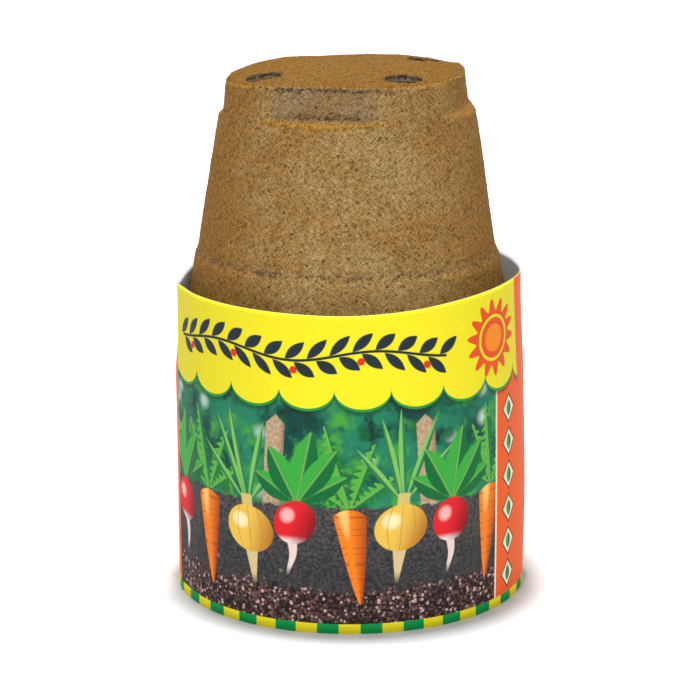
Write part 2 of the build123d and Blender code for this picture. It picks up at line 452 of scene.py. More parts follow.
def shape_pot(points, number):
    """Moves the points of a plain pot to their places in pot number 1 to 6 of the stack. The lip thins
    toward its edge: its outside moves in by LIP_THINNING (1 - z / LIP_HEIGHT), and its inside stays. The
    base spreads a little, and the highest pot's front right hole sits further to the right."""
    x, y, z = points[..., 0], points[..., 1], points[..., 2]
    own = points + np.array([0, 0, 157.0 * number])
    moved = points
    for amount, step, seed in ROUGHNESS:
        moved = moved + amount * vector_noise(own, step, seed)
    across = np.clip((np.hypot(x, y) - wall_radius(np.arctan2(y, x), z)) / WALL + 1, 0, 1)
    thinner = LIP_THINNING * across * np.clip(1 - z / LIP_HEIGHT, 0, 1)
    moved[..., :2] *= 1 - (thinner / MOUTH_RADIUS)[..., None]
    edges = edge_nearness(points)[..., None]
    for amount, step, seed in FRAYING:
        moved = moved + edges * amount * vector_noise(own, step, seed)
    on_base = smooth_step((z - 108) / 4)
    spread = np.clip(1 - (np.hypot(x, y) / 43) ** 4, 0, 1) * on_base
    moved[..., :2] *= 1 + BASE_SPREAD * spread[..., None]
    if number == SHOWN:
        moved[..., 0] += RIGHT_HOLE_SHIFT * near(x, RIGHT_HOLE[0], 9) * near(y, RIGHT_HOLE[1], 9) * on_base
    relief = top_relief(x, y) if number == SHOWN else plain_relief(x, y, number)
    moved[..., 2] += relief * smooth_step((z - 78) / 36) + NEST_PITCH * (number - 1)
    high = smooth_step((moved[..., 2] - 70) / 60)[..., None]
    waves = vector_noise(moved * np.array([1, 1, 0.6]), WAVE_STEP, 5)
    moved = moved + waves * WAVES * (0.15 + 0.85 * high)
    moved[..., 0] += drift(moved[..., 2])
    moved[..., 2] = np.maximum(moved[..., 2], NEST_PITCH * (number - 1) + 0.02)
    return moved


top_points = shape_pot(SKIN_POINTS, SHOWN)
print("highest pot from", top_points.min(axis=0).round(1), "to", top_points.max(axis=0).round(1))

# %% [markdown]
# ## Marks that the material reads
# The front panel is painted greyer where it faces the front: a painted sheen. The upward faces take a warm
# tone, painted darker as painted shade under the strong top lamp. Dark patches lie along the step of the
# mouth band, and painted shade darkens the edges of the front panel and the rims of the drain holes, whose
# cut walls are painted pale as painted light. A painted texture could show this, but it would have to be
# unwrapped. Where these places are follows the shape, so each point carries them as a colour attribute,
# and the material mixes them in.

# %% Panel, upward and dark places, with painted sheen, shade and light
# How far the painted light on the holes' cut walls reaches, then how strong the painted shade is at the
# holes' rims, the base's front edge and the front panel's foot
CUT_TONE_EDGE = 0.2
RIM_MARK = 1.7
BASE_LINE_MARK = 1.6
PANEL_LINE_MARK = 1.3


def pot_marks(points):
    """For points of the plain pot: how far in the front panel they lie, where it is painted greyer as a
    painted sheen; how much they face up at the base or on a ledge, where the colour is painted darker as
    painted shade under the top lamp; how near they are to the band's step, to a hole's rim or to the front
    panel's edges, where it is darker, as painted shade at the rims and edges; and whether they are on the cut
    wall of a drain hole, which is painted pale as painted light. Each goes from 0 to 1, but the third goes
    higher where the dark line of painted shade is unbroken."""
    x, y, z = points[..., 0], points[..., 1], points[..., 2]
    turn = np.arctan2(y, x)
    wall = wall_radius(turn, z)
    cone = BASE_RADIUS + WALL_SLOPE * (POT_HEIGHT - z)
    outside = smooth_step((np.hypot(x, y) - wall + 1.2) / 0.6)
    front = smooth_step((-y - 26) / 12)
    # Where the panels lie; only the front one is painted greyer, as a painted sheen
    on_panel = smooth_step((cone - wall - 0.25) / 0.9) * (z > LEDGE_HEIGHT - 3) * outside

    shrinking = wall - wall_radius(turn, z + 0.6)
    # Upward faces of the ledges, more at the front; painted darker as painted shade under the top lamp
    ledge = smooth_step((shrinking - 0.14) / 0.2) * outside * (0.3 + 0.5 * front)
    ledge = ledge * (z > LEDGE_HEIGHT - 8) * (z < LEDGE_HEIGHT + 0.2)
    # The base's upward face, painted darker as painted shade under the top lamp
    flat = smooth_step((z - POT_HEIGHT + 0.9) / 0.8)

    from_hole = hole_distance(x, y)
    # The cut walls of the holes, painted pale as painted light
    cut = from_hole < HOLE_RADIUS + CUT_TONE_EDGE
    cut = cut * (z > POT_HEIGHT - BASE_THICKNESS - 0.1) * (z < POT_HEIGHT - 0.2)
    # Painted shade round each hole's rim
    rim = RIM_MARK * near(from_hole, HOLE_RADIUS, 0.35) * (z > POT_HEIGHT - 1.2)
    step = near(z, BAND_HEIGHT + BAND_RAMP, 1.4) * outside
    # Painted shade lines at the base's front edge and at the front panel's foot
    line = BASE_LINE_MARK * near(z, POT_HEIGHT - 1.1, 0.7)
    line = line + PANEL_LINE_MARK * near(z, LEDGE_HEIGHT + 0.3, 0.9) * on_panel
    line = line * front * outside * (1 - smooth_step((abs(x + 5) - 19) / 6))

    upward = np.maximum(ledge, flat * (1 - cut))
    dark = np.maximum.reduce([step, line, rim])
    return np.stack([on_panel * (1 - flat) * front, upward, dark, cut * 1.0], axis=-1)


def set_marks(piece, marks):
    """Stores four numbers for each point as the colour attribute that the materials read."""
    layer = piece.data.color_attributes.new("marks", "FLOAT_COLOR", "POINT")
    layer.data.foreach_set("color", marks.astype(np.float32).ravel())


for number, name in enumerate(POTS, start=1):
    plain, quads = (SKIN_POINTS, SKIN_QUADS) if number == SHOWN else (COARSE_POINTS, COARSE_QUADS)
    pot = mesh_piece(f"{name}_pulp", shape_pot(plain, number), quads)
    set_marks(pot, pot_marks(plain))
    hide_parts(name)
    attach(pot, name)
    print(pot.name, len(pot.data.polygons), "faces")

# %% [markdown]
# ## Loose fibres
# Fine roots and wood fibres stand off the pulp, most of all on the edges. Blender's hair could grow them,
# but hair isn't a mesh, and an exported model would lose it. So each is a thin bent strand with three sides,
# and like the skin, all strands of a pot are worked out at once.

# %% Strands on the walls and edges
def strand_mesh(name, roots, outward, stout, seed, longest):
    """Thin strands from their root points. The middle line is root + way t + bend t², with t from 0 to the
    strand's length, and a ring of three points is set round it at four places, thinner to the end. stout
    makes some of them thicker."""
    chance = np.random.default_rng(seed)
    count = len(roots)
    way = outward * chance.uniform(0.15, 0.9, (count, 1)) + 0.8 * chance.normal(size=(count, 3))
    way /= np.linalg.norm(way, axis=1, keepdims=True)
    bend = chance.normal(size=(count, 3)) * 0.14
    length = longest * chance.uniform(0.25, 1, (count, 1)) ** 1.5
    along = np.linspace(0, 1, 4)[None, :, None] * length[:, None, :]
    line = (roots - 0.2 * outward)[:, None] + way[:, None] * along + bend[:, None] * along ** 2
    aside = np.cross(way, np.array([0.31, 0.52, 0.8]))
    aside /= np.linalg.norm(aside, axis=1, keepdims=True)
    across = np.cross(way, aside)
    thinner = np.array([1, 0.9, 0.7, 0.25])[None, :, None]
    thick = stout[:, None, None] * chance.uniform(0.035, 0.075, (count, 1, 1)) * thinner
    angle = np.arange(3) * 2 * pi / 3
    ring = aside[:, None, None] * np.cos(angle)[:, None] + across[:, None, None] * np.sin(angle)[:, None]
    points = line[:, :, None] + ring * thick[..., None]
    corner = np.arange(3)
    after = (corner + 1) % 3
    level = np.arange(3)[:, None] * 3
    sides = np.stack([level + corner, level + after, level + 3 + after, level + 3 + corner], axis=-1)
    caps = np.array([[2, 1, 0, 0], [9, 10, 11, 11]])
    quads = np.concatenate([sides.reshape(-1, 4), caps])
    quads = (np.arange(count)[:, None, None] * 12 + quads).reshape(-1, 4)
    return mesh_piece(name, points.reshape(-1, 3), quads, smooth=False)


def strand_roots(count, number, seed):
    """Root points, outward directions and stoutness on the outside of a plain pot. A quarter are on the
    base's edge and stouter, a tenth on the ledges, some on the base, and the rest anywhere on the wall."""
    chance = np.random.default_rng(seed)
    turn = chance.uniform(-pi, pi, count)
    kind = chance.uniform(size=count)
    height = chance.uniform(2, POT_HEIGHT - 2, count)
    height = np.where(kind < 0.25, POT_HEIGHT - chance.uniform(0, 1.6, count), height)
    height = np.where((kind > 0.25) & (kind < 0.35), LEDGE_HEIGHT + chance.uniform(-3, 1, count), height)
    radius = wall_radius(turn, height) - np.clip(height - POT_HEIGHT + BASE_ROUND, 0, 1) * 0.5
    roots = ring_points(turn, radius, height)
    upward = np.where(height > POT_HEIGHT - 2, 0.8, 0.1)
    outward = np.stack([np.cos(turn), np.sin(turn), upward], axis=-1)
    flat = kind > 0.85
    inner = np.sqrt(chance.uniform(0.02, 0.92, count)) * (BASE_RADIUS - 3)
    roots[flat] = ring_points(turn, inner, POT_HEIGHT + 0 * turn)[flat]
    outward[flat] = [0, 0, 1]
    return shape_pot(roots, number), outward, np.select([kind < 0.035, kind < 0.25], [4.6, 2.4], 1.0)


for number, name in enumerate(POTS, start=1):
    count, longest = (1100, 2.0) if number == SHOWN else (250, 1.4)
    roots = strand_roots(count, number, 40 + number)
    strands = strand_mesh(f"{name}_strands", *roots, 70 + number, longest)
    set_marks(strands, np.zeros((len(strands.data.vertices), 4)))
    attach(strands, name)
print(count, "strands on the highest pot,", len(strands.data.polygons), "faces")

# %% [markdown]
# ## Shader maths in plain expressions
# A material is a graph of nodes. It could be wired by hand in the editor, but a print with hundreds of nodes
# can't be read there. So a small class wraps a socket: adding or multiplying two wrapped sockets, or taking
# the greater one, makes the Math node for it, and one method makes any other node. Colours are written as
# three numbers from 0 to 255, as a screen shows them, and become linear where they meet a colour socket.

# %% Colours
def linear(value):
    """The linear value of a screen value from 0 to 255. With v the share of 255, it is v / 12.92 when dark,
    and else ((v + 0.055) / 1.055)^2.4."""
    value = value / 255
    return value / 12.92 if value <= 0.04045 else ((value + 0.055) / 1.055) ** 2.4


print("screen 128 is", round(linear(128), 3))


# %% Wires between nodes
class Wire:
    """A socket of a material. Sums, products and powers of wires and numbers make Math nodes, and so do
    the least and the most of two."""

    tree = None

    def __init__(self, socket):
        self.socket = socket

    @staticmethod
    def plug(socket, value):
        """Links a wire to a socket, or sets the socket to a number, a vector or a colour. A colour of
        three numbers is what a screen shows, and one of four is linear already."""
        if isinstance(value, Wire):
            Wire.tree.links.new(value.socket, socket)
        elif socket.type == "RGBA" and len(value) == 3:
            socket.default_value = (*[linear(part) for part in value], 1.0)
        else:
            socket.default_value = value

    @staticmethod
    def math(operation, *values):
        """One Math node."""
        node = Wire.tree.nodes.new("ShaderNodeMath")
        node.operation = operation
        for socket, value in zip(node.inputs, values):
            Wire.plug(socket, value)
        return Wire(node.outputs[0])

    @staticmethod
    def node(kind, settings=(), **sockets):
        """Any other node: its type, its settings, then its sockets by name, with _ for a space. Returns
        its outputs as wires, by name."""
        node = Wire.tree.nodes.new(kind)
        for setting, value in dict(settings).items():
            setattr(node, setting, value)
        for name, value in sockets.items():
            Wire.plug(node.inputs[name.replace("_", " ")], value)
        return {output.name: Wire(output) for output in node.outputs if output.enabled}

    def __add__(self, other):
        return Wire.math("ADD", self, other)

    __radd__ = __add__

    def __sub__(self, other):
        return Wire.math("SUBTRACT", self, other)

    def __rsub__(self, other):
        return Wire.math("SUBTRACT", other, self)

    def __mul__(self, other):
        return Wire.math("MULTIPLY", self, other)

    __rmul__ = __mul__

    def __truediv__(self, other):
        return Wire.math("DIVIDE", self, other)

    def __pow__(self, other):
        return Wire.math("POWER", self, other)

    def __abs__(self):
        return Wire.math("ABSOLUTE", self)

    def least(self, other):
        return Wire.math("MINIMUM", self, other)

    def most(self, other):
        return Wire.math("MAXIMUM", self, other)

    def ramp(self, low, high, low_value=0.0, high_value=1.0):
        """Goes smoothly from one value to another while the wire goes from low to high."""
        settings = {"interpolation_type": "SMOOTHSTEP", "clamp": False}
        out = Wire.node("ShaderNodeMapRange", settings, Value=self, From_Min=low, From_Max=high,
                        To_Min=low_value, To_Max=high_value)
        return out["Result"]

    def fall(self, low, high):
        """1 up to low and 0 from high on, with a smooth fall between."""
        return self.ramp(low, high, 1.0, 0.0)


print("besides sums, a wire has", *[name for name in vars(Wire) if "_" not in name])


# %% Colours, vectors and noise
def mix(share, first, second):
    """The Mix node for colours: the first where share is 0, the second where it is 1. Its sockets share
    their names with those for numbers and vectors, so they are taken by their places."""
    node = Wire.tree.nodes.new("ShaderNodeMix")
    node.data_type = "RGBA"
    node.clamp_factor = True
    for socket, value in zip((node.inputs[0], node.inputs[6], node.inputs[7]), (share, first, second)):
        Wire.plug(socket, value)
    return Wire(node.outputs[2])


def vector(operation, first, second):
    """One Vector Math node."""
    node = Wire.tree.nodes.new("ShaderNodeVectorMath")
    node.operation = operation
    for socket, value in zip(node.inputs, (first, second)):
        Wire.plug(socket, value)
    return Wire(node.outputs[0])


def scaled(place, factor):
    """A vector times a number, or times one number for each direction."""
    return vector("MULTIPLY", place, factor if isinstance(factor, tuple) else (factor,) * 3)


def split(place):
    """The three parts of a vector."""
    parts = Wire.node("ShaderNodeSeparateXYZ", Vector=place)
    return parts["X"], parts["Y"], parts["Z"]


def noise(place, per_mm, detail=2.0, roughness=0.55):
    """Noise from 0 to 1 with so many lumps to a millimetre; place is in millimetres."""
    out = Wire.node("ShaderNodeTexNoise", {"noise_dimensions": "3D"}, Vector=place, Scale=per_mm,
                    Detail=detail, Roughness=roughness)
    return out["Fac"]


print("colours, vectors and noise ready")


# %% Starting and finishing a material
def start_material(name):
    """An empty material whose tree the wires now build."""
    material = bpy.data.materials.new(name)
    material.use_nodes = True
    material.node_tree.nodes.clear()
    Wire.tree = material.node_tree
    return material


def finish_surface(shader_output, kind="ShaderNodeOutputMaterial"):
    """Links the last shader to the output of the material or the world."""
    node = Wire.tree.nodes.new(kind)
    Wire.plug(node.inputs["Surface"], shader_output)


def millimetres():
    """The place on the piece in millimetres, from its Object coordinates."""
    return scaled(Wire.node("ShaderNodeTexCoord")["Object"], 1 / MM)


print("materials can start")

# %% [markdown]
# ## Moulded peat
# Peat pulp dries to a felt: pebbly grains about a millimetre wide, drawn out along the slanting wires of the
# mould's screen, with dark specks of bark and pale fibres. A photo of peat wrapped round the pot would show
# a seam, and stretch on the base. A pattern in space does neither. Here two noises are each turned about the
# axis, a little more with each millimetre of height, so their grains follow two helices that cross.

# %% Tones of peat
TONES = {
    "stain": (144, 108, 58),
    "pulp": (157, 127, 80),
    "blotch": (148, 121, 76),
    # Painted shade: the flanks are darker and browner than the front
    "side": (134, 94, 38),
    # Painted sheen: the front panel is greyer where it faces the front
    "front panel": (138, 115, 84),
    # Warm tones of the upward faces, painted darker as painted shade under the strong top lamp
    "base": (114, 77, 14),
    "ledge": (134, 93, 14),
    "streak": (78, 50, 12),
    # Painted light: the holes' cut walls are pale, as if lit from above
    "cut wall": (176, 158, 130),
    # A darker tone along the band's step, and painted shade at the panel's edges and the holes' rims
    "band": (118, 92, 56),
    "bark": (62, 44, 24),
    # Dark patches on the band's step, and lines of painted shade
    "dark patches and shade": (68, 55, 42),
    "hair": (196, 170, 122),
}
HELIX = 0.019
BACK_HELIX = -0.02


def twisted(place, height, turn_per_mm):
    """A place turned about the axis by its height times turn_per_mm, in radians."""
    settings = {"rotation_type": "Z_AXIS"}
    return Wire.node("ShaderNodeVectorRotate", settings, Vector=place, Angle=height * turn_per_mm)["Vector"]


def peat_ground(place, x, on_panel, upward, step, cut):
    """The slow colours: stains and blotches; flanks painted darker and browner, as painted shade; the front
    panel painted greyer, as a painted sheen; the warm base and ledges, painted darker as painted shade under
    the top lamp; the holes' cut walls painted pale, as painted light; and a darker tone along the band's
    step, which at the front panel's edges and the holes' rims is painted shade."""
    slow = noise(place, 0.055, 3.0, 0.55)
    blotch = noise(scaled(place, (1.0, 1.0, 1.3)), 0.16, 3.0, 0.6)
    streaks = noise(scaled(place, (0.5, 1.3, 1.0)), 0.8, 3.0, 0.65)
    on_base = upward.ramp(0.82, 1.0)
    ground = mix(slow.ramp(0.36, 0.64), TONES["stain"], TONES["pulp"])
    ground = mix(blotch.ramp(0.42, 0.68, 0.0, 0.5), ground, TONES["blotch"])
    # Painted shade: the flanks to the left and right are darker and browner
    ground = mix(abs(x).ramp(14.0, 56.0, 0.0, 0.95), ground, TONES["side"])
    # Painted sheen: the front panel is greyer
    ground = mix(on_panel * slow.ramp(0.3, 0.5, 0.4, 0.75), ground, TONES["front panel"])
    # Painted shade: the upward faces are darker under the top lamp
    ground = mix(upward * 0.85, ground, mix(on_base, TONES["ledge"], TONES["base"]))
    ground = mix(on_base * streaks.ramp(0.46, 0.62, 0.0, 0.55), ground, TONES["streak"])
    # Painted light: the holes' cut walls are paler
    ground = mix(cut * 0.65, ground, TONES["cut wall"])
    # Darker along the band's step; painted shade at the front panel's edges and the holes' rims
    return mix(step.least(1.0) * 0.42, ground, TONES["band"])


def dark_patches_and_shade(place, x, step):
    """Where the dark tone goes: in patches along the band's step, most of all in the middle of the front, and
    as painted shade in an unbroken line where the mark goes above 1, at the front panel's edges and round
    the holes."""
    patch_places = noise(place, 0.12, 1.0).ramp(0.38, 0.55).most(abs(x + 3.0).ramp(8.0, 24.0, 0.85, 0.0))
    patches = noise(place, 0.75, 2.0).ramp(0.46, 0.58) * patch_places
    unbroken = (step - 1.0) * 1.4 * noise(place, 0.9, 2.0).ramp(0.34, 0.5)
    return (step * patches).most(unbroken)


print(len(TONES), "tones of peat")


# %% Peat material
def peat_material():
    """Felt grain, bark specks, dark patches with lines of painted shade, and pale hairs over the slow
    colours, and a bump of the grain.
    """
    material = start_material("moulded peat")
    place = millimetres()
    x, _, z = split(place)
    marks = Wire.node("ShaderNodeAttribute", {"attribute_name": "marks"})
    # The marks: the front panel's painted sheen, the upward faces' painted shade, and the dark tone with its
    # painted shade; alpha is the holes' painted light
    on_panel, upward, step = split(marks["Color"])
    ground = peat_ground(place, x, on_panel, upward, step, marks["Alpha"])

    helix = twisted(place, z, HELIX)
    drawn_out = (1.0, 1.0, 0.4)
    woven = noise(scaled(helix, drawn_out), 1.5, 1.5)
    woven = woven + noise(scaled(twisted(place, z, BACK_HELIX), drawn_out), 1.5, 1.5)
    grain = noise(place, 1.7, 2.5, 0.62) * 0.55 + woven * 0.32 - 0.095
    fine = noise(place, 3.4, 1.5, 0.6)
    dark_grain = Wire.node("ShaderNodeHueSaturation", Color=ground, Value=0.38, Saturation=1.12)["Color"]
    light_grain = Wire.node("ShaderNodeHueSaturation", Color=ground, Value=1.52, Saturation=0.95)["Color"]
    felt = mix(grain.ramp(0.38, 0.51), dark_grain, ground)
    felt = mix(grain.ramp(0.50, 0.64), felt, light_grain)
    felt = mix(fine.ramp(0.30, 0.46, 0.5, 0.0), felt, dark_grain)

    specks = Wire.node("ShaderNodeTexVoronoi", Vector=place, Scale=0.36, Randomness=1.0)
    chosen = split(specks["Color"])[0].ramp(0.60, 0.66)
    spot = (specks["Distance"] + (fine - 0.5) * 0.35).fall(0.10, 0.24) * chosen
    felt = mix(spot * 0.85, felt, TONES["bark"])
    # Dark patches on the band's step and lines of painted shade
    felt = mix(dark_patches_and_shade(place, x, step) * 0.85, felt, TONES["dark patches and shade"])
    hair_field = noise(scaled(helix, (1.0, 1.0, 0.7)), 0.23, 1.5, 0.5)
    hair = abs(hair_field - 0.5).fall(0.0, 0.008) * noise(place, 0.31).ramp(0.54, 0.6)
    felt = mix(hair * 0.4, felt, TONES["hair"])

    height = grain * 0.6 + fine * 0.25 + noise(place, 0.4) * 0.3 - spot * 0.3
    bump = Wire.node("ShaderNodeBump", Strength=0.85, Distance=0.00042, Height=height)["Normal"]
    shader = Wire.node("ShaderNodeBsdfPrincipled", Base_Color=felt, Normal=bump,
                       Roughness=grain.ramp(0.2, 0.8, 0.98, 0.84), Specular_IOR_Level=0.12)
    finish_surface(shader["BSDF"])
    return material


PEAT = peat_material()
for name in POTS:
    for suffix in ("pulp", "strands"):
        bpy.data.objects[f"{name}_{suffix}"].data.materials.append(PEAT)
print(len(PEAT.node_tree.nodes), "nodes in", PEAT.name)

# %% [markdown]
# ## The card sleeve
# The sleeve is one strip of printed card, wrapped round the pots and glued to itself at the back. It came
# folded flat, so at the left a crease stands a little proud, and above the pots' mouths, where nothing
# holds the card, it runs nearly straight from there to the back. At the right it bellies out below and
# leans in at the top, and its edge is cut higher there. A cloth simulation could bend a flat strip, but it
# wouldn't come to rest in just these places. Here the length along the strip is one parameter of the surface
# and the height the other. Each bend is one term of the radius, and the parameters also give the print its
# map.

# %% The strip's length and its top edge
CARD = 0.45
SLEEVE_INNER = MOUTH_RADIUS + 0.5
LAP_RISE = 0.57
# Angles in degrees, anticlockwise from the right as seen from above
SEAM = 97.0
SEAM_HALF = 7.1
RAMP_ANGLE = 7.98
FRONT = 270.0
STRIP_START = SEAM - SEAM_HALF
STRIP_END = SEAM + SEAM_HALF + 360
STRIP_LENGTH = radians(STRIP_END - STRIP_START) * (SLEEVE_INNER + CARD / 2)
# Height of the top edge at some angles
RIM_PLACES = {0: 120.1, 25: 120.0, 30: 120.0, 60: 119.4, 90: 118.4, 130: 117.6, 160: 117.6, 196: 117.5,
              216: 117.2, 234: 116.9, 270: 116.4, 290: 117.5, 305: 119.1, 320: 120.2, 330: 120.8,
              340: 121.1, 350: 120.6}
RIM_SMOOTHING = 15


def closed_curve(places, width):
    """A curve over the whole turn: straight between the given places, then averaged over some degrees."""
    turns = np.arange(360.0)
    straight = np.interp(turns, list(places), list(places.values()), period=360)
    return np.convolve(np.tile(straight, 3), np.ones(width) / width, "same")[360:720]


RIM = closed_curve(RIM_PLACES, RIM_SMOOTHING)


def rim_height(angle):
    """Height of the sleeve's top edge at an angle in degrees."""
    return np.interp(angle, np.arange(360.0), RIM, period=360)


print("strip of", round(STRIP_LENGTH, 1), "mm, up to", round(RIM.max(), 1), "mm high")


# %% How the strip bends
LEFT_FOLD = 195.4
BACK_CHORD = 47
FRONT_CHORD = 14
RIDGE = 0.4
RIGHT_SIDE = 4
BELLY = 1.35
RIGHT_LEAN = 1.05
BULGE_PLACE = 42
BULGE = 0.7
CARD_WAVES = 0.14


def turned_from(angle, fold):
    """The angle from a fold in degrees, from -180 to 180, anticlockwise."""
    return (angle - fold + 180) % 360 - 180


def chord(away, span):
    """The share of the radius left on the straight chord between a fold and a place span degrees on:
    cos(span/2) / cos(away - span/2) there, and 1 elsewhere."""
    inside = (away > 0) & (away < span)
    share = np.cos(np.radians(span / 2)) / np.cos(np.radians(away - span / 2))
    return np.where(inside, share, 1.0)


def sleeve_radius(angle, height):
    """Radius of the card's inner face, without the step of the overlap: the plain circle, times the
    chords beside the left crease, which count more with height, plus the crease's ridge, the belly and
    the lean of the right side, the bulge at the right of the back, and slow waves."""
    free = smooth_step((height - 78) / 38)
    left = turned_from(angle, LEFT_FOLD)
    right = turned_from(angle, RIGHT_SIDE)
    share = chord(-left, BACK_CHORD) ** (0.8 * free) * chord(left, FRONT_CHORD) ** (0.25 + 0.75 * free)
    ridge = RIDGE * (1 - free) * np.clip(1 - abs(left) / 7, 0, 1) ** 2
    belly = BELLY * near(right, 0, 30) * near(height, 30, 50)
    lean = RIGHT_LEAN * near(right, 0, 20) * smooth_step((height - 80) / 34)
    bulge = BULGE * free * near(turned_from(angle, BULGE_PLACE), 0, 14)
    turn = np.radians(angle)
    around = np.stack(np.broadcast_arrays(np.cos(turn), np.sin(turn), height / 110), axis=-1)
    waves = CARD_WAVES * lattice_noise(2.5 * around, 1.0, 9)
    return SLEEVE_INNER * share + ridge + belly - lean + bulge + waves


def sleeve_point(angle, height_share, out):
    """A point of the strip at an angle, at a share of its height, and out millimetres from its inner face."""
    height = rim_height(angle) * height_share
    lap = LAP_RISE * smooth_step((angle - (STRIP_END - 2 * SEAM_HALF - RAMP_ANGLE)) / RAMP_ANGLE)
    radius = sleeve_radius(angle, height) + lap + out
    turn = np.radians(angle)
    across = radius * np.cos(turn) + drift(height)
    return np.stack(np.broadcast_arrays(across, radius * np.sin(turn), height), axis=-1)


print("radius at the front", sleeve_radius(np.array(FRONT), np.array(60.0)).round(2))


# %% The strip as a closed card
STRIP_COLUMNS = 440
# Closer columns at the crease
BY_FOLD = [LEFT_FOLD + step for step in (-0.6, -0.25, 0, 0.25, 0.6)]
# Rows below and above the share of the height where the card comes free of the pots
BEND_START = 0.62
LOW_ROWS = 14
HIGH_ROWS = 27


def numbers_of(points, wanted, tolerance=1e-3):
    """The number of the welded point at each wanted place, found on the same lattice as weld uses."""
    keys = np.round(points / tolerance).astype(np.int64)
    asked = np.round(wanted / tolerance).astype(np.int64)
    both, number = np.unique(np.concatenate([keys, asked]), axis=0, return_inverse=True)
    place = np.full(len(both), -1)
    place[number.reshape(-1)[:len(keys)]] = np.arange(len(keys))
    return place[number.reshape(-1)[len(keys):]]


def strip_mesh(name, angles, heights, inner, outer):
    """A closed strip between two distances from the inner face. Its outer side has material 0, its inner
    side 1 and its four edges 2. Its map is the share of the length and of SLEEVE_HEIGHT."""
    angle, height = angles[:, None], heights[None, :]
    sides = [sleeve_point(angle, height, outer), sleeve_point(angle, height, inner)]
    columns, rows = sides[0].shape[:2]
    patches = [(sides[0], grid_faces(columns, rows)), (sides[1], grid_faces(columns, rows, flip=True))]
    for row, flip in ((0, False), (-1, True)):
        edge = np.stack([sides[0][:, row], sides[1][:, row]])
        patches.append((edge, grid_faces(2, columns, flip=flip)))
    for column, flip in ((0, True), (-1, False)):
        edge = np.stack([sides[0][column], sides[1][column]])
        patches.append((edge, grid_faces(2, rows, flip=flip)))
    points, quads = weld(patches)
    piece = mesh_piece(name, points, quads)
    on_side = (columns - 1) * (rows - 1)
    kinds = np.repeat([0, 1, 2], [on_side, on_side, len(quads) - 2 * on_side])
    piece.data.polygons.foreach_set("use_smooth", kinds < 2)
    piece.data.polygons.foreach_set("material_index", kinds.astype(np.int32))

    along = (angle - STRIP_START) / (STRIP_END - STRIP_START)
    shares = np.stack(np.broadcast_arrays(along, rim_height(angle) * height / SLEEVE_HEIGHT), axis=-1)
    at_point = np.zeros((len(points), 2))
    for side in sides:
        at_point[numbers_of(points, side.reshape(-1, 3))] = shares.reshape(-1, 2)
    corner_points = np.empty(len(piece.data.loops), np.int32)
    piece.data.loops.foreach_get("vertex_index", corner_points)
    layer = piece.data.uv_layers.new(name="along and up")
    layer.data.foreach_set("uv", at_point[corner_points].astype(np.float32).ravel())
    return piece


angles = np.linspace(STRIP_START, STRIP_END, STRIP_COLUMNS + 1)
angles = np.unique(np.concatenate([angles, BY_FOLD]))
rise = np.concatenate([np.linspace(0, BEND_START, LOW_ROWS), np.linspace(BEND_START, 1, HIGH_ROWS)[1:]])
sleeve = strip_mesh("card_sleeve_card", angles, rise, 0.0, CARD)
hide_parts(SLEEVE)
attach(sleeve, "sleeve")
print("sleeve", len(sleeve.data.polygons), "faces")

# %% The film of glue
# Degrees to each side of the seam, shares of the height, and millimetres from the overlap's inner face
GLUE_REACH = 4.4
GLUE_ENDS = (0.055, 0.945)
GLUE_FACES = (-0.115, -0.005)

glue_angles = SEAM + 360 + np.linspace(-GLUE_REACH, GLUE_REACH, 12)
glue = strip_mesh("seam_glue_film", glue_angles, np.linspace(*GLUE_ENDS, 24), *GLUE_FACES)
glue.data.polygons.foreach_set("material_index", np.zeros(len(glue.data.polygons), np.int32))
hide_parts(GLUE)
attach(glue, "sleeve")
print("glue", len(glue.data.polygons), "faces")

# %% [markdown]
# ## Glue and bare board
# The inside of the sleeve is plain grey board, and its cut edges are darker, stained by handling. The
# board is given paler, bluish colours than grey, as painted light: they lift the shaded inside of the
# sleeve and offset the warm light thrown on it by the peat. The film of glue is hardly seen. One flat colour
# for each would look like plastic. Board has short fibres and a slow mottle, and glue dries in streaks along
# the seam, so each colour is mixed by such a noise, and one function makes both the bare board and the cut
# edge.

# %% Board and glue materials
def board_material(name, low, high, fibres):
    """Board: a slow mottle between two colours, and short fibres in a third."""
    material = start_material(name)
    place = millimetres()
    fibre = noise(scaled(place, (1.0, 1.0, 3.0)), 0.9, 3.0, 0.6)
    mottle = noise(place, 0.05, 2.0)
    board = mix(mottle.ramp(0.35, 0.65), low, high)
    board = mix(fibre.ramp(0.35, 0.65, 0.0, 0.35), board, fibres)
    bump = Wire.node("ShaderNodeBump", Strength=0.3, Distance=0.00008, Height=fibre)["Normal"]
    shader = Wire.node("ShaderNodeBsdfPrincipled", Base_Color=board, Normal=bump,
                       Roughness=fibre.ramp(0.2, 0.8, 0.9, 0.75))
    finish_surface(shader["BSDF"])
    return material


def glue_material():
    """Dried glue: pale and a little glossy, with streaks along the seam."""
    material = start_material("dried glue")
    streaks = noise(scaled(millimetres(), (1.0, 1.0, 0.1)), 0.8, 2.0)
    colour = mix(streaks.ramp(0.3, 0.7), (226, 214, 178), (240, 234, 210))
    bump = Wire.node("ShaderNodeBump", Strength=0.3, Distance=0.00005, Height=streaks)["Normal"]
    shader = Wire.node("ShaderNodeBsdfPrincipled", Base_Color=colour, Normal=bump,
                       Roughness=streaks.ramp(0.3, 0.7, 0.25, 0.45))
    finish_surface(shader["BSDF"])
    return material


# Painted light: the inside's colours are pale and bluish so that the shaded inside of the sleeve shows grey
BOARD = board_material("grey board", (216, 228, 244), (224, 236, 250), (200, 208, 218))
CUT_EDGE = board_material("cut edge", (176, 170, 130), (188, 182, 140), (150, 140, 100))
glue.data.materials.append(glue_material())
print("board and glue ready")

